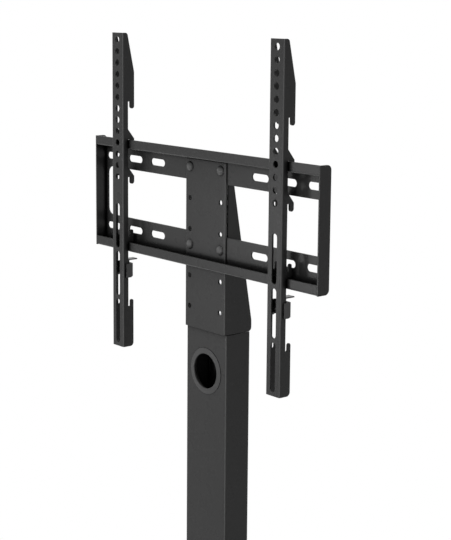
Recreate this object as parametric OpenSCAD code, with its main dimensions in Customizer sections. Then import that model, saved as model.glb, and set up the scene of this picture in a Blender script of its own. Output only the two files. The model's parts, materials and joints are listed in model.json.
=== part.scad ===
// Free-standing television stand: a floor base, a rectangular steel column and a swivelling head that
// carries two sliding arms. Front is -Y, +X is the right-hand side seen from the front, and +Z is up.
// The origin is on the floor under the base's centre.

/* [Base] */
// Width of the floor plate
base_w = 600; // [450:10:800]
// Depth of the floor plate
base_d = 400; // [300:10:500]
// Thickness of the floor plate
base_t = 8; // [6:1:12]
// Corner radius of the floor plate
base_corner_r = 30; // [10:5:60]
// Diameter of a floor pad
pad_d = 34; // [24:2:40]
// Thickness of a floor pad
pad_t = 3; // [2:0.5:6]
// Distance from the floor plate's edge to a pad's centre
pad_inset = 34; // [25:1:50]
// How far the column stands behind the middle of the floor plate
column_back = 40; // [0:5:80]

/* [Column foot] */
// Width of the foot flange under the column
flange_w = 136; // [124:2:180]
// Depth of the foot flange
flange_d = 96; // [84:2:130]
// Thickness of the foot flange
flange_t = 6; // [5:0.5:10]
// Corner radius of the foot flange
flange_corner_r = 12; // [6:1:18]
// Distance from the foot flange's edge to a screw's axis
foot_screw_inset = 14; // [12:1:18]
// Thread diameter of a foot screw
foot_screw_d = 8; // [6:0.5:10]
// Head diameter of a countersunk foot screw
foot_head_d = 15; // [12:0.5:17]

/* [Column] */
// Outer width of the column tube
tube_w = 80; // [76:1:90]
// Outer depth of the column tube
tube_d = 40; // [38:1:50]
// Wall of the column tube
tube_wall = 2; // [1.5:0.25:3]
// Outer corner radius of the column tube
tube_r = 3; // [2.5:0.5:5]
// Height of the frame's centre above the floor
head_height = 1150; // [900:10:1400]
// Depth of the upper cable hole's centre below the frame's centre
cable_drop = 211; // [205:1:260]
// Height of the lower cable hole's centre above the floor
cable_exit_height = 130; // [100:5:250]

/* [Cable grommets] */
// Clear bore of a cable grommet
grommet_bore_d = 45.2; // [40:0.2:50]
// Outer diameter of a grommet's sleeve
grommet_sleeve_d = 56.4; // [54:0.2:57.6]
// Outer diameter of a grommet's ring
grommet_rim_d = 59.6; // [58.4:0.2:66]
// Height of a grommet's ring at its bore
grommet_rim_t = 1.5; // [1:0.25:3]
// Depth of a grommet's sleeve behind the ring
grommet_depth = 6; // [4:0.5:12]

/* [Swivel] */
// Thickness of the cap plate in the column's top
cap_t = 5; // [4:0.5:8]
// Thickness of the friction disc
disc_t = 1; // [0.75:0.25:3]
// Diameter of the friction disc
disc_d = 38; // [32:1:38]
// Diameter of the pivot bolt
pivot_d = 12; // [10:0.5:12]
// Width across the flats of the pivot bolt's head and nut
pivot_flats = 19; // [18:0.5:20]
// Height of the pivot bolt's head
pivot_head_h = 7.5; // [6:0.5:9]
// Height of the pivot nut
pivot_nut_h = 9; // [8:0.5:10]
// Outer diameter of the pivot washer
pivot_washer_d = 24; // [23:0.5:26]
// Thickness of the pivot washer
pivot_washer_t = 2.5; // [2:0.25:3]
// Swivel to either side of straight ahead, in degrees
swivel_angle = 35; // [20:1:38]
// Diameter of the stop pin
stop_pin_d = 5; // [4:0.5:6]
// Distance from the pivot to the stop pin
stop_pin_radius = 26; // [25:0.5:27]

/* [Head bracket] */
// Width of the bracket over its side flanges
bracket_w = 80; // [78:1:84]
// Sheet thickness of the bracket
bracket_t = 2.5; // [2:0.25:3]
// Outer bend radius of the bracket
bracket_bend_r = 3; // [3:0.25:4]
// Depth of the bracket's bottom edge below the frame's centre
bracket_drop = 157; // [150:1:175]
// Height of the bracket's top edge above the frame's centre
bracket_rise = 60; // [57:0.5:61]
// Depth of the side flanges at the bracket's top, from its front face
bracket_top_depth = 9; // [7:0.5:14]
// Depth of the side flanges at the bracket's bottom, from its front face
bracket_bottom_depth = 44.6; // [44:0.2:50]
// Height of the straight rear edge at the bottom of the side flanges
bracket_heel = 14; // [8:1:20]
// Corner radius at the heel of the side flanges
bracket_heel_r = 5; // [3:0.5:7]
// Distance between the two columns of bolt holes
bolt_pitch_x = 60; // [56:1:62]
// Distance between the upper and the lower frame bolts
bolt_pitch_z = 100; // [96:1:104]
// Step from one height setting to the next
height_step = 40; // [36:1:41]
// Diameter of a bolt hole
bolt_hole_d = 6.6; // [6.4:0.1:7]
// Thickness of the swivel plate in the bracket's bottom
swivel_plate_t = 4; // [3:0.5:6]

/* [Mounting frame] */
// Length of the frame
frame_w = 440; // [420:5:600]
// Height of the frame
frame_h = 150; // [148:1:156]
// Depth of the frame
frame_d = 17.5; // [16.5:0.5:19]
// Sheet thickness of the frame
frame_t = 2; // [1.5:0.25:2.5]
// Height of a front lip
lip_h = 12.5; // [11.5:0.5:13]
// Outer bend radius at the back of the frame
frame_bend_r = 4; // [3:0.5:5]
// Outer bend radius at the front of the frame
lip_bend_r = 2.6; // [2.5:0.1:3]
// Corner radius of an end plate's rear corners
end_corner_r = 6; // [4:0.5:8]
// Height of the window between the rails
window_h = 66; // [60:1:70]
// Distance from the frame's end to the window
window_margin = 7; // [6:0.5:12]
// Corner radius of the window
window_r = 9.5; // [6:0.5:12]
// Length of a rail slot
rail_slot_l = 30; // [20:1:34]
// Width of a rail slot
rail_slot_w = 9.2; // [7:0.2:11]
// Distance from the frame's centre to the nearest rail slot's centre
rail_slot_first = 101; // [90:1:105]
// Distance from one rail slot to the next
rail_slot_pitch = 49; // [40:1:50]
// Height of the rail slots from the frame's centre
rail_slot_z = 48; // [45:0.5:52]

/* [Frame bolts] */
// Thread diameter of a frame bolt
bolt_d = 6; // [5:0.5:6]
// Diameter of a frame bolt's domed head
bolt_head_d = 13; // [11:0.5:14]
// Height of a frame bolt's domed head
bolt_head_h = 3.8; // [3:0.2:4.5]
// Length of a frame bolt under its head
bolt_length = 14; // [12:0.5:16]
// Width across the flats of a frame nut
nut_flats = 10; // [9:0.5:11]
// Height of a frame nut
nut_h = 5; // [4:0.5:6]
// Outer diameter of a frame washer
washer_d = 12; // [11:0.5:13]
// Thickness of a frame washer
washer_t = 1.6; // [1:0.2:2]

/* [Arms] */
// Length of an arm
arm_l = 420; // [418:1:440]
// Width of an arm
arm_w = 25; // [23:0.5:28]
// Depth of an arm in front of the frame's lips
arm_d = 8.5; // [8:0.5:10]
// Sheet thickness of an arm
arm_t = 2; // [1.5:0.25:2.5]
// Outer bend radius of an arm
arm_bend_r = 2.4; // [2.25:0.05:3]
// Height of an arm's top above the frame's centre
arm_rise = 215; // [205:1:225]
// Place of the left arm's middle
arm_left_x = -157.5; // [-195:0.5:-105]
// Place of the right arm's middle
arm_right_x = 154.5; // [105:0.5:195]
// Distance from one hook to the next
hook_pitch = 50; // [44:1:54]
// Reach of a hook behind the frame's front plane
hook_reach = 9.7; // [9:0.1:10]
// Width of a hook's slot
hook_slot_w = 3.3; // [3:0.1:3.6]
// Length of a hook's finger below the top of its slot
hook_finger_l = 9.3; // [7:0.1:10]
// Reach of the foot and of the keeper of an arm behind the frame's front plane
heel_reach = 8; // [7.4:0.1:10]
// Depth of the foot's slot below the frame's centre
heel_slot_drop = 150; // [147:1:156]
// Length of the finger on the foot and on the keeper
heel_finger_l = 9.5; // [8:0.5:11]
// Corner radius at the foot of an arm
heel_r = 5; // [4:0.5:7]
// Height of the keeper's body under its finger
keeper_h = 7; // [5:0.5:8]
// Diameter of a fixing hole in an arm
arm_hole_d = 8.5; // [8:0.1:9]
// Number of fixing holes in an arm
arm_holes = 13; // [6:1:13]
// Distance from one fixing hole to the next
arm_hole_pitch = 15; // [13:0.5:15.5]
// Distance from the arm's top to the first hole
arm_hole_first = 9; // [8:0.5:12]
// Length of an arm's fixing slot
arm_slot_l = 60; // [50:0.5:61]
// Distance from one fixing slot to the next
arm_slot_pitch = 65; // [63:0.5:66]
// Distance from the arm's top to the first slot's upper end
arm_slot_first = 225; // [212:1:227]

/* [Lift locks] */
// Sheet thickness of a lock slider
lock_t = 1.5; // [1:0.25:2]
// Outer bend radius of a lock slider
lock_bend_r = 2.4; // [2.3:0.1:3]
// Depth of a lock slider's lower edge below the frame's centre
lock_drop = 110; // [108:1:116]
// Height of a lock slider's ears
lock_ear_h = 19; // [17:0.5:20]
// Height of a lock slider's rear wall
lock_wall_h = 23; // [21:0.5:24]
// Reach of a lock slider's ears in front of the frame's lips
lock_ear_reach = 4.6; // [4:0.1:5]
// Reach of a lock slider's rear wall behind the frame's front plane
lock_wall_reach = 7; // [6:0.1:8]
// Chamfer at the lower rear corner of the ears
lock_chamfer = 4; // [2:0.5:4.5]
// Width of a lock slider's finger tab
lock_tab_w = 10; // [8:0.5:14]
// Length of a lock slider's finger tab
lock_tab_l = 13; // [8:0.5:15]
// Rise of the finger tab towards its end, in degrees
lock_tab_rise = 0; // [0:1:12]
// Travel of a lock slider
lock_travel = 8; // [5:0.5:8]
// Diameter of a lock pin
lock_pin_d = 3; // [2.5:0.25:3]
// Distance of a lock pin in front of the frame's lips
lock_pin_setback = 3.2; // [3:0.1:3.4]

/* [Hidden] */

// Number of sides of a round shape, kept high so that every round face is a true cylinder
$fn = 48;
// Length by which every cut runs past the face that it opens
over = 1;
// Gap that a weld fills between two sheets
weld_gap = 0.15;
// Clearance between two pieces that slide or stand clear of each other
clear = 0.3;
// Radial running clearance of a pin or a bolt in its hole
run_clear = 0.05;
// Gap left for the frame between the bracket's front plate and its side flanges
wing_gap = 0.1;
// Thickness of the top layer of a countersunk head's straight rim
head_rim = 0.5;
// Extra swivel, in degrees, before the stop pin meets the end of its slot
stop_spare = 1;
// Wall of a grommet's sleeve, and the height of its ring's soft edges
grommet_sleeve_t = 1.8;
grommet_edge = 0.5;
// Numbers of slots in an arm and in each half of a rail, and of steps that the frame can be lowered by
arm_slots = 3;
rail_slots = 3;
height_steps = 2;

powder = [0.20, 0.20, 0.21];
powder_dark = [0.15, 0.15, 0.16];
plastic = [0.27, 0.27, 0.28];
rubber = [0.08, 0.08, 0.08];
zinc = [0.62, 0.63, 0.65];
nylon = [0.12, 0.12, 0.12];

// Heights of the stack from the floor up
plate_z = pad_t;
flange_z = plate_z + base_t;
tube_z = flange_z + flange_t;
tube_top = head_height - bracket_drop - disc_t;

// Places from front to back: the column's middle, its front face and the plane of the frame's lips
column_y = column_back;
tube_front_y = column_y - tube_d / 2;
// How far the column's front face stands behind the bracket's front face
tube_setback = 3.2;
// The bracket's front plate lies on the front of the frame's web
bracket_setback = frame_d - frame_t - bracket_t;
bracket_y = tube_front_y - tube_setback;
lip_y = bracket_y - bracket_setback;
frame_top = frame_h / 2;
frame_bottom = -frame_h / 2;

// Places of the hooks' slots, counted from the frame's centre
hook_top = frame_top + clear;
arm_rear_y = -clear;

// The head's pieces are drawn in their own frame: its origin is the mounting frame's centre, at the front
// plane of its lips
module at_head() {
    translate([0, lip_y, head_height]) children();
}

// Rectangle about the origin with four round corners
module round_rect(w, d, r) {
    square([w - 2 * r, d], center = true);
    square([w, d - 2 * r], center = true);
    for (sx = [-1, 1], sy = [-1, 1])
        translate([sx * (w / 2 - r), sy * (d / 2 - r)]) circle(r = r);
}

// Rectangle that starts at y = 0 with its two front corners round
module front_round_rect(w, d, r) {
    translate([-w / 2, r]) square([w, d - r]);
    translate([r - w / 2, 0]) square([w - 2 * r, d]);
    for (sx = [-1, 1])
        translate([sx * (w / 2 - r), r]) circle(r = r);
}

// Folded channel seen from above: its web is at the front, and it is open to the back
module channel_section(w, d, t, r) {
    difference() {
        front_round_rect(w, d, r);
        translate([0, t]) front_round_rect(w - 2 * t, d, r - t);
    }
}

// Extrudes a shape drawn as (depth, height) along X, about X = 0
module along_x(w) {
    translate([-w / 2, 0, 0]) rotate([90, 0, 90]) linear_extrude(height = w) children();
}

// Extrudes a shape drawn as (across, height) backwards from y0 by d
module backwards(y0, d) {
    translate([0, y0 + d, 0]) rotate([90, 0, 0]) linear_extrude(height = d) children();
}

// Slot with round ends, about the origin, along the first axis
module slot_shape(l, w) {
    square([l - w, w], center = true);
    for (s = [-1, 1])
        translate([s * (l - w) / 2, 0]) circle(d = w);
}

// Quarter of a bent strip: an outer radius r, a thickness t, in the quadrant that sx and sy give
module bend(r, t, sx, sy) {
    intersection() {
        difference() {
            circle(r = r);
            circle(r = r - t);
        }
        translate([sx > 0 ? 0 : -r, sy > 0 ? 0 : -r]) square([r, r]);
    }
}

// Hexagonal prism by its width across the flats
module hexagon(flats, h) {
    cylinder(d = flats / cos(30), h = h, $fn = 6);
}

// BASE

function pad_places() = [for (sx = [-1, 0, 1], sy = [-1, 1])
    [sx * (base_w / 2 - pad_inset), sy * (base_d / 2 - pad_inset)]];

function foot_screw_places() = [for (sx = [-1, 1], sy = [-1, 1])
    [sx * (flange_w / 2 - foot_screw_inset), column_y + sy * (flange_d / 2 - foot_screw_inset)]];

// Depth of the cone under a countersunk foot screw's head
function foot_cone_h() = (foot_head_d - foot_screw_d) / 2;

// Countersunk screw with its head down, or the hole for it when spare is more than zero
module foot_screw(spare, length) {
    cylinder(d = foot_head_d + 2 * spare, h = head_rim);
    translate([0, 0, head_rim])
        cylinder(d1 = foot_head_d + 2 * spare, d2 = foot_screw_d + 2 * spare, h = foot_cone_h());
    cylinder(d = foot_screw_d + 2 * spare, h = length);
}

module base_plate() {
    color(powder) difference() {
        translate([0, 0, plate_z])
            linear_extrude(height = base_t) round_rect(base_w, base_d, base_corner_r);
        for (p = foot_screw_places())
            translate([p[0], p[1], plate_z]) foot_screw(clear, base_t + over);
        for (p = foot_screw_places())
            translate([p[0], p[1], plate_z - over]) cylinder(d = foot_head_d + 2 * clear, h = over);
    }
}

module base_pads() {
    color(rubber) for (p = pad_places())
        translate([p[0], p[1], 0]) cylinder(d = pad_d, h = pad_t);
}

module foot_flange() {
    color(powder) difference() {
        translate([0, column_y, flange_z])
            linear_extrude(height = flange_t) round_rect(flange_w, flange_d, flange_corner_r);
        for (p = foot_screw_places())
            translate([p[0], p[1], flange_z - over])
                cylinder(d = foot_screw_d + 2 * run_clear, h = flange_t + 2 * over);
    }
}

module foot_screws() {
    color(zinc) for (p = foot_screw_places())
        translate([p[0], p[1], plate_z]) foot_screw(0, base_t + flange_t);
}

// COLUMN

// Cylinder along Y from y0 back by d, at height z
module bore_y(diameter, y0, d, z) {
    translate([0, y0 + d, z]) rotate([90, 0, 0]) cylinder(d = diameter, h = d);
}

module column() {
    color(powder) difference() {
        translate([0, column_y, tube_z]) linear_extrude(height = tube_top - tube_z) difference() {
            round_rect(tube_w, tube_d, tube_r);
            round_rect(tube_w - 2 * tube_wall, tube_d - 2 * tube_wall, tube_r - tube_wall);
        }
        bore_y(grommet_sleeve_d + 2 * clear, tube_front_y - over, tube_wall + 2 * over,
            head_height - cable_drop);
        bore_y(grommet_sleeve_d + 2 * clear, column_y + tube_d / 2 - tube_wall - over,
            tube_wall + 2 * over, cable_exit_height);
    }
}

// Grommet about the Z axis: its ring lies on z = 0 and rises to the bore, and a thin sleeve reaches down
module grommet() {
    bore_r = grommet_bore_d / 2;
    sleeve_r = grommet_sleeve_d / 2;
    rim_r = grommet_rim_d / 2;
    rotate_extrude() polygon([
        [bore_r, -grommet_edge],
        [sleeve_r - grommet_sleeve_t, -grommet_edge],
        [sleeve_r - grommet_sleeve_t, -grommet_depth],
        [sleeve_r, -grommet_depth],
        [sleeve_r, 0],
        [rim_r, 0],
        [rim_r, grommet_edge],
        [bore_r + grommet_edge, grommet_rim_t],
        [bore_r, grommet_rim_t - grommet_edge]
    ]);
}

module upper_cable_grommet() {
    color(plastic) translate([0, tube_front_y, head_height - cable_drop]) rotate([90, 0, 0]) grommet();
}

module lower_cable_grommet() {
    color(plastic) translate([0, column_y + tube_d / 2, cable_exit_height]) rotate([-90, 0, 0]) grommet();
}

// SWIVEL

module column_cap() {
    color(powder) difference() {
        translate([0, column_y, tube_top - cap_t]) linear_extrude(height = cap_t)
            round_rect(tube_w - 2 * tube_wall - 2 * weld_gap, tube_d - 2 * tube_wall - 2 * weld_gap,
                tube_r - tube_wall);
        translate([0, column_y, tube_top - cap_t - over])
            cylinder(d = pivot_d + 2 * clear, h = cap_t + 2 * over);
        translate([stop_pin_radius, column_y, tube_top - cap_t - over])
            cylinder(d = stop_pin_d + 2 * run_clear, h = cap_t + 2 * over);
    }
}

// Height of the swivel plate's top and of the pieces stacked on it
swivel_plate_z = head_height - bracket_drop;
washer_z = swivel_plate_z + swivel_plate_t;
nut_z = washer_z + pivot_washer_t;

module friction_disc() {
    color(nylon) translate([0, column_y, tube_top]) difference() {
        cylinder(d = disc_d, h = disc_t);
        translate([0, 0, -over]) cylinder(d = pivot_d + 2 * clear, h = disc_t + 2 * over);
    }
}

module pivot_bolt() {
    // Length of thread that stands above the nut
    thread_end = 2;
    head_z = tube_top - cap_t - pivot_head_h;
    color(zinc) translate([0, column_y, head_z]) {
        hexagon(pivot_flats, pivot_head_h);
        cylinder(d = pivot_d, h = nut_z + pivot_nut_h + thread_end - head_z);
    }
}

module pivot_washer() {
    color(zinc) translate([0, column_y, washer_z]) difference() {
        cylinder(d = pivot_washer_d, h = pivot_washer_t);
        translate([0, 0, -over]) cylinder(d = pivot_d + 2 * clear, h = pivot_washer_t + 2 * over);
    }
}

module pivot_nut() {
    color(zinc) translate([0, column_y, nut_z]) difference() {
        hexagon(pivot_flats, pivot_nut_h);
        translate([0, 0, -over]) cylinder(d = pivot_d + 2 * run_clear, h = pivot_nut_h + 2 * over);
    }
}

module stop_pin() {
    // Height by which the stop pin stands above the swivel plate
    stop_pin_proud = 1.5;
    color(zinc) translate([stop_pin_radius, column_y, tube_top - cap_t])
        cylinder(d = stop_pin_d, h = cap_t + disc_t + swivel_plate_t + stop_pin_proud);
}

// Slot in the swivel plate that the stop pin runs in
module stop_slot() {
    half = swivel_angle + stop_spare;
    slot_w = stop_pin_d + 2 * clear;
    depth = swivel_plate_t + 2 * over;
    rotate([0, 0, -half]) rotate_extrude(angle = 2 * half)
        translate([stop_pin_radius - slot_w / 2, 0]) square([slot_w, depth]);
    for (s = [-1, 1])
        rotate([0, 0, s * half]) translate([stop_pin_radius, 0, 0]) cylinder(d = slot_w, h = depth);
}

module swivel_plate() {
    front = bracket_y + bracket_t + weld_gap;
    back = bracket_y + bracket_bottom_depth - bracket_heel_r / 2;
    width = bracket_w - 2 * bracket_t - 2 * weld_gap;
    color(powder) difference() {
        translate([-width / 2, front, swivel_plate_z]) cube([width, back - front, swivel_plate_t]);
        translate([0, column_y, swivel_plate_z - over])
            cylinder(d = pivot_d + 2 * run_clear, h = swivel_plate_t + 2 * over);
        translate([0, column_y, swivel_plate_z - over]) stop_slot();
    }
}

// HEAD BRACKET

// Side view of the bracket as (depth behind its front face, height from the frame's centre)
module bracket_side() {
    difference() {
        polygon([
            [0, -bracket_drop],
            [bracket_bottom_depth, -bracket_drop],
            [bracket_bottom_depth, bracket_heel - bracket_drop],
            [bracket_top_depth, bracket_rise],
            [0, bracket_rise]
        ]);
        difference() {
            translate([bracket_bottom_depth - bracket_heel_r, -bracket_drop - over])
                square([bracket_heel_r + over, bracket_heel_r + over]);
            translate([bracket_bottom_depth - bracket_heel_r, bracket_heel_r - bracket_drop])
                circle(r = bracket_heel_r);
        }
    }
}

// Heights of the rows of holes: the frame's bolts can move down by one or two steps
function bracket_rows() = [for (base = [bolt_pitch_z / 2, -bolt_pitch_z / 2], n = [0 : height_steps])
    base - n * height_step];

module head_bracket() {
    depth = bracket_bottom_depth;
    color(powder) at_head() translate([0, bracket_setback, 0]) difference() {
        intersection() {
            translate([0, 0, -bracket_drop]) linear_extrude(height = bracket_drop + bracket_rise)
                channel_section(bracket_w, depth, bracket_t, bracket_bend_r);
            along_x(bracket_w + 2 * over) bracket_side();
        }
        // The frame's web stands between the front plate and the side flanges
        translate([-bracket_w / 2 - over, bracket_t, frame_bottom - over])
            cube([bracket_w + 2 * over, frame_t + wing_gap, bracket_rise - frame_bottom + 2 * over]);
        for (sx = [-1, 1], z = bracket_rows())
            translate([sx * bolt_pitch_x / 2, 0, 0]) bore_y(bolt_hole_d, -over, bracket_t + 2 * over, z);
    }
}

// MOUNTING FRAME

// Section of the frame as (depth behind the lips, height): the top lip stands up from its flange
module frame_section() {
    r = frame_bend_r;
    q = lip_bend_r;
    t = frame_t;
    shelf = frame_top - lip_h;
    top = shelf + t;
    translate([frame_d - t, frame_bottom + r]) square([t, top - frame_bottom - 2 * r]);
    translate([frame_d - r, top - r]) bend(r, t, 1, 1);
    translate([q, shelf]) square([frame_d - r - q, t]);
    translate([q, shelf + q]) bend(q, t, -1, -1);
    translate([0, shelf + q]) square([t, lip_h - q]);
    translate([frame_d - r, frame_bottom + r]) bend(r, t, 1, -1);
    translate([q, frame_bottom]) square([frame_d - r - q, t]);
    translate([q, frame_bottom + q]) bend(q, t, -1, -1);
    translate([0, frame_bottom + q]) square([t, lip_h - q]);
}

// Outline of an end plate as (depth, height), with its rear corners round
module end_outline() {
    r = end_corner_r;
    translate([0, frame_bottom]) square([frame_d - r, frame_h]);
    translate([0, frame_bottom + r]) square([frame_d, frame_h - 2 * r]);
    for (s = [-1, 1])
        translate([frame_d - r, s * (frame_top - r)]) circle(r = r);
}

// Plate that is welded to one end of the frame: side is -1 for the left end and 1 for the right one
module frame_end(side) {
    color(powder) at_head() translate([side * (frame_w - frame_t) / 2, 0, 0]) along_x(frame_t) end_outline();
}

module frame_end_left() {
    frame_end(-1);
}

module frame_end_right() {
    frame_end(1);
}

module frame_bolt_places() {
    for (sx = [-1, 1], sz = [-1, 1])
        translate([sx * bolt_pitch_x / 2, 0, sz * bolt_pitch_z / 2]) children();
}

module mounting_frame() {
    color(powder) at_head() difference() {
        along_x(frame_w - 2 * frame_t) intersection() {
            frame_section();
            end_outline();
        }
        backwards(frame_d - frame_t - over, frame_t + 2 * over)
            round_rect(frame_w - 2 * window_margin, window_h, window_r);
        backwards(frame_d - frame_t - over, frame_t + 2 * over)
            for (sx = [-1, 1], sz = [-1, 1], n = [0 : rail_slots - 1])
                translate([sx * (rail_slot_first + n * rail_slot_pitch), sz * rail_slot_z])
                    slot_shape(rail_slot_l, rail_slot_w);
        frame_bolt_places() bore_y(bolt_hole_d, frame_d - frame_t - over, frame_t + 2 * over, 0);
        // The bracket's front plate passes down through the lower flange
        translate([-bracket_w / 2 - clear, bracket_setback - clear, frame_bottom - over])
            cube([bracket_w + 2 * clear, frame_d - frame_t - bracket_setback + clear, frame_bend_r + over]);
    }
}

// Domed bolt along Y, with its head in front of y = 0
module frame_bolt() {
    // Radius of the sphere that the dome is cut from
    dome_r = (pow(bolt_head_d / 2, 2) + pow(bolt_head_h, 2)) / (2 * bolt_head_h);
    rotate([-90, 0, 0]) {
        rotate_extrude() intersection() {
            translate([0, dome_r - bolt_head_h]) circle(r = dome_r);
            translate([0, -bolt_head_h]) square([bolt_head_d / 2, bolt_head_h]);
        }
        cylinder(d = bolt_d, h = bolt_length);
    }
}

module frame_bolts() {
    color(powder_dark) at_head() frame_bolt_places() translate([0, bracket_setback, 0]) frame_bolt();
}

module frame_washers() {
    color(zinc) at_head() frame_bolt_places() translate([0, frame_d, 0]) rotate([-90, 0, 0])
        difference() {
            cylinder(d = washer_d, h = washer_t);
            translate([0, 0, -over]) cylinder(d = bolt_d + 2 * run_clear, h = washer_t + 2 * over);
        }
}

module frame_nuts() {
    color(zinc) at_head() frame_bolt_places() translate([0, frame_d + washer_t, 0]) rotate([-90, 0, 0])
        difference() {
            hexagon(nut_flats, nut_h);
            translate([0, 0, -over]) cylinder(d = bolt_d + 2 * run_clear, h = nut_h + 2 * over);
        }
}

// ARMS

// Rise of a working hook's ramp above its slot, and the height that the ramp itself takes
hook_rise = 13.5;
hook_ramp = 12.5;
// Height over which the top of an arm tapers to its upper hook
fin_ramp = 47;
// Corner radius at the top rear of an arm, and at the lower rear of its keeper
arm_top_r = 4;
keeper_r = 2;

// Hook as (depth, height): a ramp, then behind a square slot a finger with a round tip that points down
module hook_shape(slot_top, rise, ramp) {
    inner = arm_rear_y + hook_slot_w;
    tip_r = (hook_reach - inner) / 2;
    finger_z = slot_top - hook_finger_l + tip_r;
    root = arm_rear_y - arm_t;
    polygon([
        [root, slot_top],
        [hook_reach, slot_top],
        [hook_reach, slot_top + rise - ramp],
        [arm_rear_y, slot_top + rise],
        [root, slot_top + rise]
    ]);
    translate([inner, finger_z]) square([hook_reach - inner, slot_top - finger_z]);
    translate([inner + tip_r, finger_z]) circle(r = tip_r);
}

// Block as (depth, height) from bottom up to slot_z, with a lower rear corner of radius r, and behind a
// slot with a round bottom a finger that points up
module keeper_shape(bottom, slot_z, r) {
    root = arm_rear_y - arm_t;
    inner = arm_rear_y + hook_slot_w;
    tip_r = (heel_reach - inner) / 2;
    slot_r = hook_slot_w / 2;
    difference() {
        union() {
            translate([root, bottom]) square([heel_reach - r - root, slot_z + slot_r - bottom]);
            translate([root, bottom + r]) square([heel_reach - root, slot_z + slot_r - bottom - r]);
            translate([heel_reach - r, bottom + r]) circle(r = r);
            translate([inner, slot_z]) square([heel_reach - inner, heel_finger_l - tip_r]);
            translate([inner + tip_r, slot_z + heel_finger_l - tip_r]) circle(r = tip_r);
        }
        translate([arm_rear_y + slot_r, slot_z + slot_r]) circle(r = slot_r);
    }
}

// Side view of an arm as (depth, height)
module arm_side() {
    bottom = arm_rise - arm_l;
    fin_top = arm_rise - hook_top - hook_pitch;
    keeper_bottom = frame_bottom + lip_h + 2 * clear;
    translate([-arm_d, bottom]) square([arm_d + arm_rear_y, arm_l - arm_top_r]);
    translate([-arm_d, bottom]) square([arm_d + arm_rear_y - arm_top_r, arm_l]);
    translate([arm_rear_y - arm_top_r, arm_rise - arm_top_r]) circle(r = arm_top_r);
    hook_shape(hook_top + hook_pitch, fin_top - arm_top_r, fin_ramp);
    hook_shape(hook_top, hook_rise, hook_ramp);
    hook_shape(hook_top - hook_pitch, hook_rise, hook_ramp);
    keeper_shape(keeper_bottom, keeper_bottom + keeper_h, keeper_r);
    keeper_shape(bottom, -heel_slot_drop, heel_r);
}

// Where the lock pin runs in an arm's side flanges
module lock_pin_slot() {
    slot_w = lock_pin_d + 2 * clear;
    middle = lock_ear_h / 2 - lock_drop + lock_travel / 2;
    translate([-lock_pin_setback, middle]) rotate(90) slot_shape(slot_w + lock_travel, slot_w);
}

module arm() {
    bottom = arm_rise - arm_l;
    difference() {
        intersection() {
            translate([0, -arm_d, bottom]) linear_extrude(height = arm_l)
                channel_section(arm_w, arm_d + hook_reach, arm_t, arm_bend_r);
            along_x(arm_w + 2 * over) arm_side();
        }
        for (n = [0 : arm_holes - 1])
            bore_y(arm_hole_d, -arm_d - over, arm_t + 2 * over,
                arm_rise - arm_hole_first - n * arm_hole_pitch);
        backwards(-arm_d - over, arm_t + 2 * over) for (n = [0 : arm_slots - 1])
            translate([0, arm_rise - arm_slot_first - n * arm_slot_pitch - arm_slot_l / 2])
                rotate(90) slot_shape(arm_slot_l, arm_hole_d);
        along_x(arm_w + 2 * over) lock_pin_slot();
    }
}

module arm_left() {
    color(powder) at_head() translate([arm_left_x, 0, 0]) arm();
}

module arm_right() {
    color(powder) at_head() translate([arm_right_x, 0, 0]) arm();
}

// LIFT LOCKS

// Side view of a lock slider's ears as (depth, height)
module lock_side() {
    top = lock_ear_h - lock_drop;
    polygon([
        [-lock_ear_reach, -lock_drop],
        [lock_wall_reach - lock_chamfer, -lock_drop],
        [lock_wall_reach, lock_chamfer / 2 - lock_drop],
        [lock_wall_reach, top],
        [-lock_ear_reach, top]
    ]);
}

// Side view of the rear wall's upper part and of the finger tab that is bent back from it
module lock_tab_side() {
    front = lock_wall_reach - lock_t;
    top = lock_wall_h - lock_drop;
    rise = tan(lock_tab_rise);
    // Height of the sheet measured straight up through the sloping tab
    upright_t = lock_t / cos(lock_tab_rise);
    polygon([
        [front, lock_ear_h - lock_drop - lock_t],
        [lock_wall_reach, lock_ear_h - lock_drop - lock_t],
        [lock_wall_reach, top - upright_t],
        [lock_wall_reach + lock_tab_l, top - upright_t + lock_tab_l * rise],
        [lock_wall_reach + lock_tab_l, top + lock_tab_l * rise],
        [front, top - lock_t * rise]
    ]);
}

// U-shaped slider round the back of an arm, with a finger tab on its rear wall
module lock_slider() {
    inner_w = arm_w + 2 * clear;
    outer_w = inner_w + 2 * lock_t;
    difference() {
        union() {
            intersection() {
                along_x(outer_w) lock_side();
                translate([0, lock_wall_reach, -lock_drop - over]) mirror([0, 1, 0])
                    linear_extrude(height = lock_ear_h + 2 * over)
                        channel_section(outer_w, lock_wall_reach + lock_ear_reach + over, lock_t,
                            lock_bend_r);
            }
            along_x(lock_tab_w) lock_tab_side();
        }
        translate([-outer_w / 2 - over, -lock_pin_setback, lock_ear_h / 2 - lock_drop]) rotate([0, 90, 0])
            cylinder(d = lock_pin_d + 2 * run_clear, h = outer_w + 2 * over);
    }
}

// Pin through both ears of a slider and the slots in the arm's flanges
module lock_pin() {
    outer_w = arm_w + 2 * clear + 2 * lock_t;
    translate([-outer_w / 2, -lock_pin_setback, lock_ear_h / 2 - lock_drop]) rotate([0, 90, 0])
        cylinder(d = lock_pin_d, h = outer_w);
}

module lock_slider_left() {
    color(powder_dark) at_head() translate([arm_left_x, 0, 0]) lock_slider();
}

module lock_slider_right() {
    color(powder_dark) at_head() translate([arm_right_x, 0, 0]) lock_slider();
}

module lock_pin_left() {
    color(powder_dark) at_head() translate([arm_left_x, 0, 0]) lock_pin();
}

module lock_pin_right() {
    color(powder_dark) at_head() translate([arm_right_x, 0, 0]) lock_pin();
}

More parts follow.
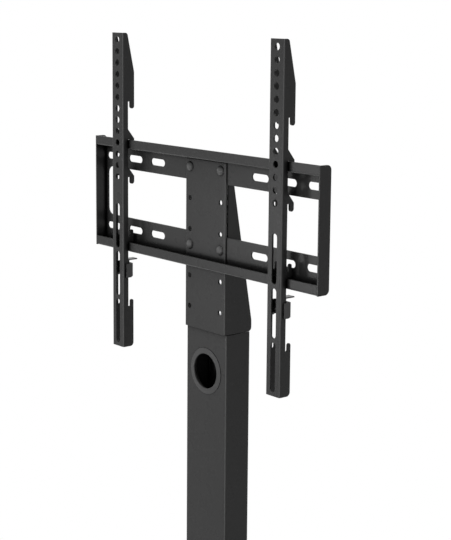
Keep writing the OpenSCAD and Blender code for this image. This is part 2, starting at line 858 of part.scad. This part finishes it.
base_plate();
base_pads();
foot_flange();
foot_screws();
column();
upper_cable_grommet();
lower_cable_grommet();
column_cap();
pivot_bolt();
pivot_washer();
pivot_nut();
friction_disc();
stop_pin();
swivel_plate();
head_bracket();
mounting_frame();
frame_end_left();
frame_end_right();
frame_bolts();
frame_washers();
frame_nuts();
arm_left();
arm_right();
lock_slider_left();
lock_slider_right();
lock_pin_left();
lock_pin_right();
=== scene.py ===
"""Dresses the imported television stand: materials, floor, light and the photograph's camera."""
import json
import math

import bpy
from mathutils import Matrix, Vector

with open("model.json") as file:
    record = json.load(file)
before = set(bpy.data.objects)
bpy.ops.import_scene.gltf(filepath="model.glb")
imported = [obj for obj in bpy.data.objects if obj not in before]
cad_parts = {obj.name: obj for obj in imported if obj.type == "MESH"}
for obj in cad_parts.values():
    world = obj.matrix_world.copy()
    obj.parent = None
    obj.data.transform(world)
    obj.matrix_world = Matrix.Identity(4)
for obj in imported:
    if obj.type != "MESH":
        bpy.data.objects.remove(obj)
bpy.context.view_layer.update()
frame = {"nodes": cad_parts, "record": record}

MM = 0.001

# Camera

# The size of the photograph in pixels, and a camera that shows the stand as the photograph does. Its optical
# centre lies above the middle of the picture, but only half as far as in the exact fit to the photograph's
# edges, so that other views show the whole stand as well. The target is a point on the plane of the mounting
# frame's lips, measured from the middle of the mounting frame.
PICTURE_W = 451
PICTURE_H = 540
HEAD_ORIGIN_MM = (0.0, 3.8, 1150.0)
CAMERA = {
    "azimuth_deg": 49.905,
    "elevation_deg": 8.888,
    "roll_deg": 0.494,
    "distance_mm": 1691.76,
    "focal_px": 1387.0,
    "centre_px": (225.5, 220.0),
    "target_mm": (55.632, 0.0, -7.104),
}
SENSOR_MM = 36.0
CLIP_NEAR_M = 0.05
CLIP_FAR_M = 60.0


def make_camera():
    azimuth = math.radians(CAMERA["azimuth_deg"])
    elevation = math.radians(CAMERA["elevation_deg"])
    roll = math.radians(CAMERA["roll_deg"])
    back = Vector((
        math.sin(azimuth) * math.cos(elevation),
        -math.cos(azimuth) * math.cos(elevation),
        math.sin(elevation),
    ))
    level = Vector((math.cos(azimuth), math.sin(azimuth), 0.0))
    upright = back.cross(level)
    right = level * math.cos(roll) + upright * math.sin(roll)
    up = upright * math.cos(roll) - level * math.sin(roll)
    target = Vector(HEAD_ORIGIN_MM) + Vector(CAMERA["target_mm"])
    place = target + back * CAMERA["distance_mm"]
    turned = Matrix((right, up, back)).transposed().to_4x4()
    data = bpy.data.cameras.new("camera")
    data.sensor_fit = "VERTICAL"
    data.sensor_height = SENSOR_MM
    data.lens = CAMERA["focal_px"] / PICTURE_H * SENSOR_MM
    centre_x, centre_y = CAMERA["centre_px"]
    data.shift_x = (PICTURE_W / 2 - centre_x) / PICTURE_H
    data.shift_y = (centre_y - PICTURE_H / 2) / PICTURE_H
    data.clip_start = CLIP_NEAR_M
    data.clip_end = CLIP_FAR_M
    camera = bpy.data.objects.new("camera", data)
    camera.matrix_world = Matrix.Translation(place * MM) @ turned
    bpy.context.scene.collection.objects.link(camera)
    bpy.context.scene.camera = camera


# Nodes that several materials share

def combine(tree, operation, first, second):
    """Math node on two values, each of them a number or another node's output."""
    node = tree.nodes.new("ShaderNodeMath")
    node.operation = operation
    for value, socket in zip((first, second), node.inputs):
        if isinstance(value, float):
            socket.default_value = value
        else:
            tree.links.new(value, socket)
    return node.outputs["Value"]


def product(tree, first, *others):
    for other in others:
        first = combine(tree, "MULTIPLY", first, other)
    return first


def stretch(tree, value, source, goal):
    """The value, with the range source carried over to the range goal and held inside it."""
    node = tree.nodes.new("ShaderNodeMapRange")
    node.inputs["From Min"].default_value, node.inputs["From Max"].default_value = source
    node.inputs["To Min"].default_value, node.inputs["To Max"].default_value = goal
    tree.links.new(value, node.inputs["Value"])
    return node.outputs["Result"]


def grain(tree, scale, detail, goal):
    """Noise in object space, stretched to the range goal."""
    place = tree.nodes.new("ShaderNodeTexCoord")
    noise = tree.nodes.new("ShaderNodeTexNoise")
    noise.inputs["Scale"].default_value = scale
    noise.inputs["Detail"].default_value = detail
    tree.links.new(place.outputs["Object"], noise.inputs["Vector"])
    return stretch(tree, noise.outputs["Fac"], (0.0, 1.0), goal)


def seen_directly(tree):
    """1 for rays that show the background itself: from the camera, in a reflection or through glass."""
    path = tree.nodes.new("ShaderNodeLightPath")
    seen = path.outputs["Is Camera Ray"]
    for name in ("Is Glossy Ray", "Is Transmission Ray"):
        seen = combine(tree, "MAXIMUM", seen, path.outputs[name])
    return seen


# Materials

# Painted shade of a sheltered place, multiplied into the colour: within this reach, surface that sees the
# open_at share of its surroundings keeps its full colour, and surface that sees no more than the closed_at
# share has the darkest level. The first table paints tight shade in corners and between parts, the second
# broad shade in recesses.
SEAM_SHADE = {"reach_mm": 7.0, "closed_at": 0.65, "open_at": 0.95, "darkest": 0.0}
HOLLOW_SHADE = {"reach_mm": 40.0, "closed_at": 0.15, "open_at": 0.85, "darkest": 0.25}
SHELTER_SAMPLES = 8

# Rounding of sharp edges. A painted highlight lifts the colour on them where the cosine of the angle between
# the true and the rounded normal is below EDGE_FROM, and most where it reaches EDGE_FULL.
EDGE_MM = 0.7
EDGE_SAMPLES = 6
EDGE_FROM = 0.99
EDGE_FULL = 0.8

# Largest value of (y^4 (1 - y^2))^2, where y is the part of the normal that points forwards. It is reached
# where a bend has turned 35 degrees from the front, where the painted highlight on bends is brightest.
BEND_PEAK = (4.0 / 27.0) ** 2

# Unevenness of the colour and of the gloss, and the fine relief of the coat. Scales are noise per metre.
MOTTLE = 0.05
MOTTLE_SCALE = 40.0
GLOSS_SPREAD = 0.04
GLOSS_SCALE = 60.0
RELIEF_SCALE = 900.0
COARSE_DETAIL = 3.0
RELIEF_DETAIL = 2.0


def painted_shade(tree, reach_mm, closed_at, open_at, darkest):
    """Painted shade: 1 on open surface, falling to the darkest level where the surroundings within reach
    close it in.
    """
    shade = tree.nodes.new("ShaderNodeAmbientOcclusion")
    shade.samples = SHELTER_SAMPLES
    shade.inputs["Distance"].default_value = reach_mm * MM
    return stretch(tree, shade.outputs["AO"], (closed_at, open_at), (darkest, 1.0))


def softened(tree):
    """Normal of the surface with its edges rounded off."""
    soft = tree.nodes.new("ShaderNodeBevel")
    soft.samples = EDGE_SAMPLES
    soft.inputs["Radius"].default_value = EDGE_MM * MM
    return soft.outputs["Normal"]


def edges(tree, normal, lift):
    """Painted highlight: 1 on flat surface and more on its sharp edges."""
    surface = tree.nodes.new("ShaderNodeNewGeometry")
    turn = tree.nodes.new("ShaderNodeVectorMath")
    turn.operation = "DOT_PRODUCT"
    tree.links.new(surface.outputs["Normal"], turn.inputs[0])
    tree.links.new(normal, turn.inputs[1])
    return stretch(tree, turn.outputs["Value"], (EDGE_FROM, EDGE_FULL), (1.0, 1.0 + lift))


def bends(tree, lift):
    """Painted highlight: 1 on flat surface and more along the bends of a folded sheet."""
    place = tree.nodes.new("ShaderNodeTexCoord")
    parts = tree.nodes.new("ShaderNodeSeparateXYZ")
    tree.links.new(place.outputs["Normal"], parts.inputs["Vector"])
    forwards = product(tree, parts.outputs["Y"], parts.outputs["Y"])
    sideways = combine(tree, "SUBTRACT", 1.0, forwards)
    turned = product(tree, forwards, forwards, sideways)
    return stretch(tree, product(tree, turned, turned), (0.0, BEND_PEAK), (1.0, 1.0 + lift))


def tint(tree, shader, color, normal, edge_highlight, bend_highlight, seam_shade):
    """Colour of the shader, a little uneven, with a painted highlight on edges and bends and painted shade in
    sheltered places.
    """
    level = product(
        tree,
        grain(tree, MOTTLE_SCALE, COARSE_DETAIL, (1.0 - MOTTLE, 1.0 + MOTTLE)),
        edges(tree, normal, edge_highlight),
        bends(tree, bend_highlight),
        painted_shade(tree, **seam_shade),
        painted_shade(tree, **HOLLOW_SHADE),
    )
    mix = tree.nodes.new("ShaderNodeMix")
    mix.data_type = "RGBA"
    mix.blend_type = "MULTIPLY"
    mix.inputs["Factor"].default_value = 1.0
    mix.inputs["A"].default_value = (*color, 1.0)
    tree.links.new(level, mix.inputs["B"])
    tree.links.new(mix.outputs["Result"], shader.inputs["Base Color"])


def relief(tree, shader, depth_mm, normal):
    """Fine relief of the coat."""
    bump = tree.nodes.new("ShaderNodeBump")
    bump.inputs["Strength"].default_value = 1.0
    bump.inputs["Distance"].default_value = depth_mm * MM
    tree.links.new(grain(tree, RELIEF_SCALE, RELIEF_DETAIL, (0.0, 1.0)), bump.inputs["Height"])
    tree.links.new(normal, bump.inputs["Normal"])
    tree.links.new(bump.outputs["Normal"], shader.inputs["Normal"])


def new_material(name):
    material = bpy.data.materials.new(name)
    material.use_nodes = True
    tree = material.node_tree
    return material, tree, tree.nodes["Principled BSDF"]


def finish_material(name, color, roughness, specular, metallic=0.0, depth_mm=0.012, edge_highlight=0.7,
                    bend_highlight=0.0, seam_shade=SEAM_SHADE):
    material, tree, shader = new_material(name)
    normal = softened(tree)
    tint(tree, shader, color, normal, edge_highlight, bend_highlight, seam_shade)
    gloss = grain(tree, GLOSS_SCALE, COARSE_DETAIL, (roughness - GLOSS_SPREAD, roughness + GLOSS_SPREAD))
    tree.links.new(gloss, shader.inputs["Roughness"])
    shader.inputs["Specular IOR Level"].default_value = specular
    shader.inputs["Metallic"].default_value = metallic
    relief(tree, shader, depth_mm, normal)
    return material


def grey(level):
    return (level, level, level)


FINISHES = {
    # The powder coat has a painted highlight along its bends.
    "powder": {"color": grey(0.060), "roughness": 0.28, "specular": 0.12, "bend_highlight": 1.7},
    "powder_dark": {"color": (0.065, 0.065, 0.066), "roughness": 0.26, "specular": 0.35},
    "grommet": {
        "color": grey(0.105),
        "roughness": 0.45,
        "specular": 0.15,
        "depth_mm": 0.03,
        # Painted shade reaching 30 mm, which darkens the inside of the grommet's bore.
        "seam_shade": {**SEAM_SHADE, "reach_mm": 30.0},
    },
    "bolt_black": {
        "color": grey(0.19),
        "roughness": 0.22,
        "specular": 0.12,
        "edge_highlight": 0.0,
        # Stronger painted shade on the bolt heads where they meet the plate.
        "seam_shade": {**SEAM_SHADE, "closed_at": 0.78, "open_at": 0.98},
    },
    "rubber": {"color": grey(0.025), "roughness": 0.8, "specular": 0.2, "depth_mm": 0.06},
    "zinc": {
        "color": (0.55, 0.55, 0.57),
        "roughness": 0.35,
        "specular": 0.5,
        "metallic": 1.0,
        "depth_mm": 0.01,
    },
    "nylon": {"color": grey(0.03), "roughness": 0.5, "specular": 0.3, "depth_mm": 0.01},
}

# Nodes whose finish looks different from the rest of their material.
NODE_FINISH = {"frame_bolts": "bolt_black"}


def dress_nodes():
    materials = {name: finish_material(name, **finish) for name, finish in FINISHES.items()}
    finishes = {part["node"]: part["material_slot"] for part in frame["record"]["subparts"]}
    finishes.update(NODE_FINISH)
    for node, piece in frame["nodes"].items():
        for slot in piece.material_slots:
            slot.material = materials[finishes[node]]


# Floor, light and background

# Level of the white background as a light. Rays that show it directly see it at full white.
WORLD_LEVEL = 0.17

# The floor shows its own shade by this share near the stand, and fades to the white background between the
# two distances from it. It lies a little below the pads.
FLOOR_SIDE_M = 40.0
FLOOR_DROP_M = 0.0005
FLOOR_COLOR = (*grey(0.85), 1.0)
FLOOR_ROUGHNESS = 0.9
FLOOR_SHARE = 0.55
FLOOR_FADE_M = (0.5, 1.5)


def make_world():
    world = bpy.data.worlds.new("studio")
    bpy.context.scene.world = world
    world.use_nodes = True
    tree = world.node_tree
    strength = stretch(tree, seen_directly(tree), (0.0, 1.0), (WORLD_LEVEL, 1.0))
    background = tree.nodes["Background"]
    background.inputs["Color"].default_value = (1.0, 1.0, 1.0, 1.0)
    tree.links.new(strength, background.inputs["Strength"])


def make_floor():
    """Pale floor that fades to the white background away from the stand."""
    bpy.ops.mesh.primitive_plane_add(size=FLOOR_SIDE_M, location=(0.0, 0.0, -FLOOR_DROP_M))
    floor = bpy.context.object
    floor.name = "floor"
    material, tree, shader = new_material("floor")
    shader.inputs["Base Color"].default_value = FLOOR_COLOR
    shader.inputs["Roughness"].default_value = FLOOR_ROUGHNESS
    shader.inputs["Specular IOR Level"].default_value = 0.0
    place = tree.nodes.new("ShaderNodeTexCoord")
    reach = tree.nodes.new("ShaderNodeVectorMath")
    reach.operation = "LENGTH"
    tree.links.new(place.outputs["Object"], reach.inputs[0])
    fade = stretch(tree, reach.outputs["Value"], FLOOR_FADE_M, (1.0 - FLOOR_SHARE, 1.0))
    white = tree.nodes.new("ShaderNodeEmission")
    mix = tree.nodes.new("ShaderNodeMixShader")
    tree.links.new(product(tree, fade, seen_directly(tree)), mix.inputs["Fac"])
    tree.links.new(shader.outputs["BSDF"], mix.inputs[1])
    tree.links.new(white.outputs["Emission"], mix.inputs[2])
    tree.links.new(mix.outputs["Shader"], tree.nodes["Material Output"].inputs["Surface"])
    floor.data.materials.append(material)


def add_light(name, azimuth_deg, height_m, distance_m, width_m, tall_m, aim_m, watts):
    """Oval area light at an azimuth seen from above: 0 is in front, 90 is to the right."""
    azimuth = math.radians(azimuth_deg)
    data = bpy.data.lights.new(name, "AREA")
    data.shape = "ELLIPSE"
    data.size = width_m
    data.size_y = tall_m
    data.energy = watts
    light = bpy.data.objects.new(name, data)
    bpy.context.scene.collection.objects.link(light)
    light.location = (math.sin(azimuth) * distance_m, -math.cos(azimuth) * distance_m, height_m)
    aim = Vector((0.0, 0.0, aim_m)) - light.location
    light.rotation_euler = aim.to_track_quat("-Z", "Y").to_euler()


make_camera()
dress_nodes()
make_world()
make_floor()
add_light(
    "key", azimuth_deg=-38.0, height_m=0.6, distance_m=3.2,
    width_m=0.7, tall_m=0.7, aim_m=0.9, watts=12.0,
)
add_light(
    "front", azimuth_deg=12.0, height_m=0.7, distance_m=3.2,
    width_m=0.5, tall_m=1.8, aim_m=0.7, watts=19.0,
)
add_light(
    "fill", azimuth_deg=60.0, height_m=1.2, distance_m=3.2,
    width_m=1.4, tall_m=1.4, aim_m=1.0, watts=1.0,
)
add_light(
    "top", azimuth_deg=5.0, height_m=3.4, distance_m=1.0,
    width_m=0.9, tall_m=0.9, aim_m=0.9, watts=9.0,
)
add_light(
    "back", azimuth_deg=195.0, height_m=1.9, distance_m=3.2,
    width_m=1.4, tall_m=1.4, aim_m=1.0, watts=17.0,
)

bpy.context.scene.view_settings.view_transform = "Standard"
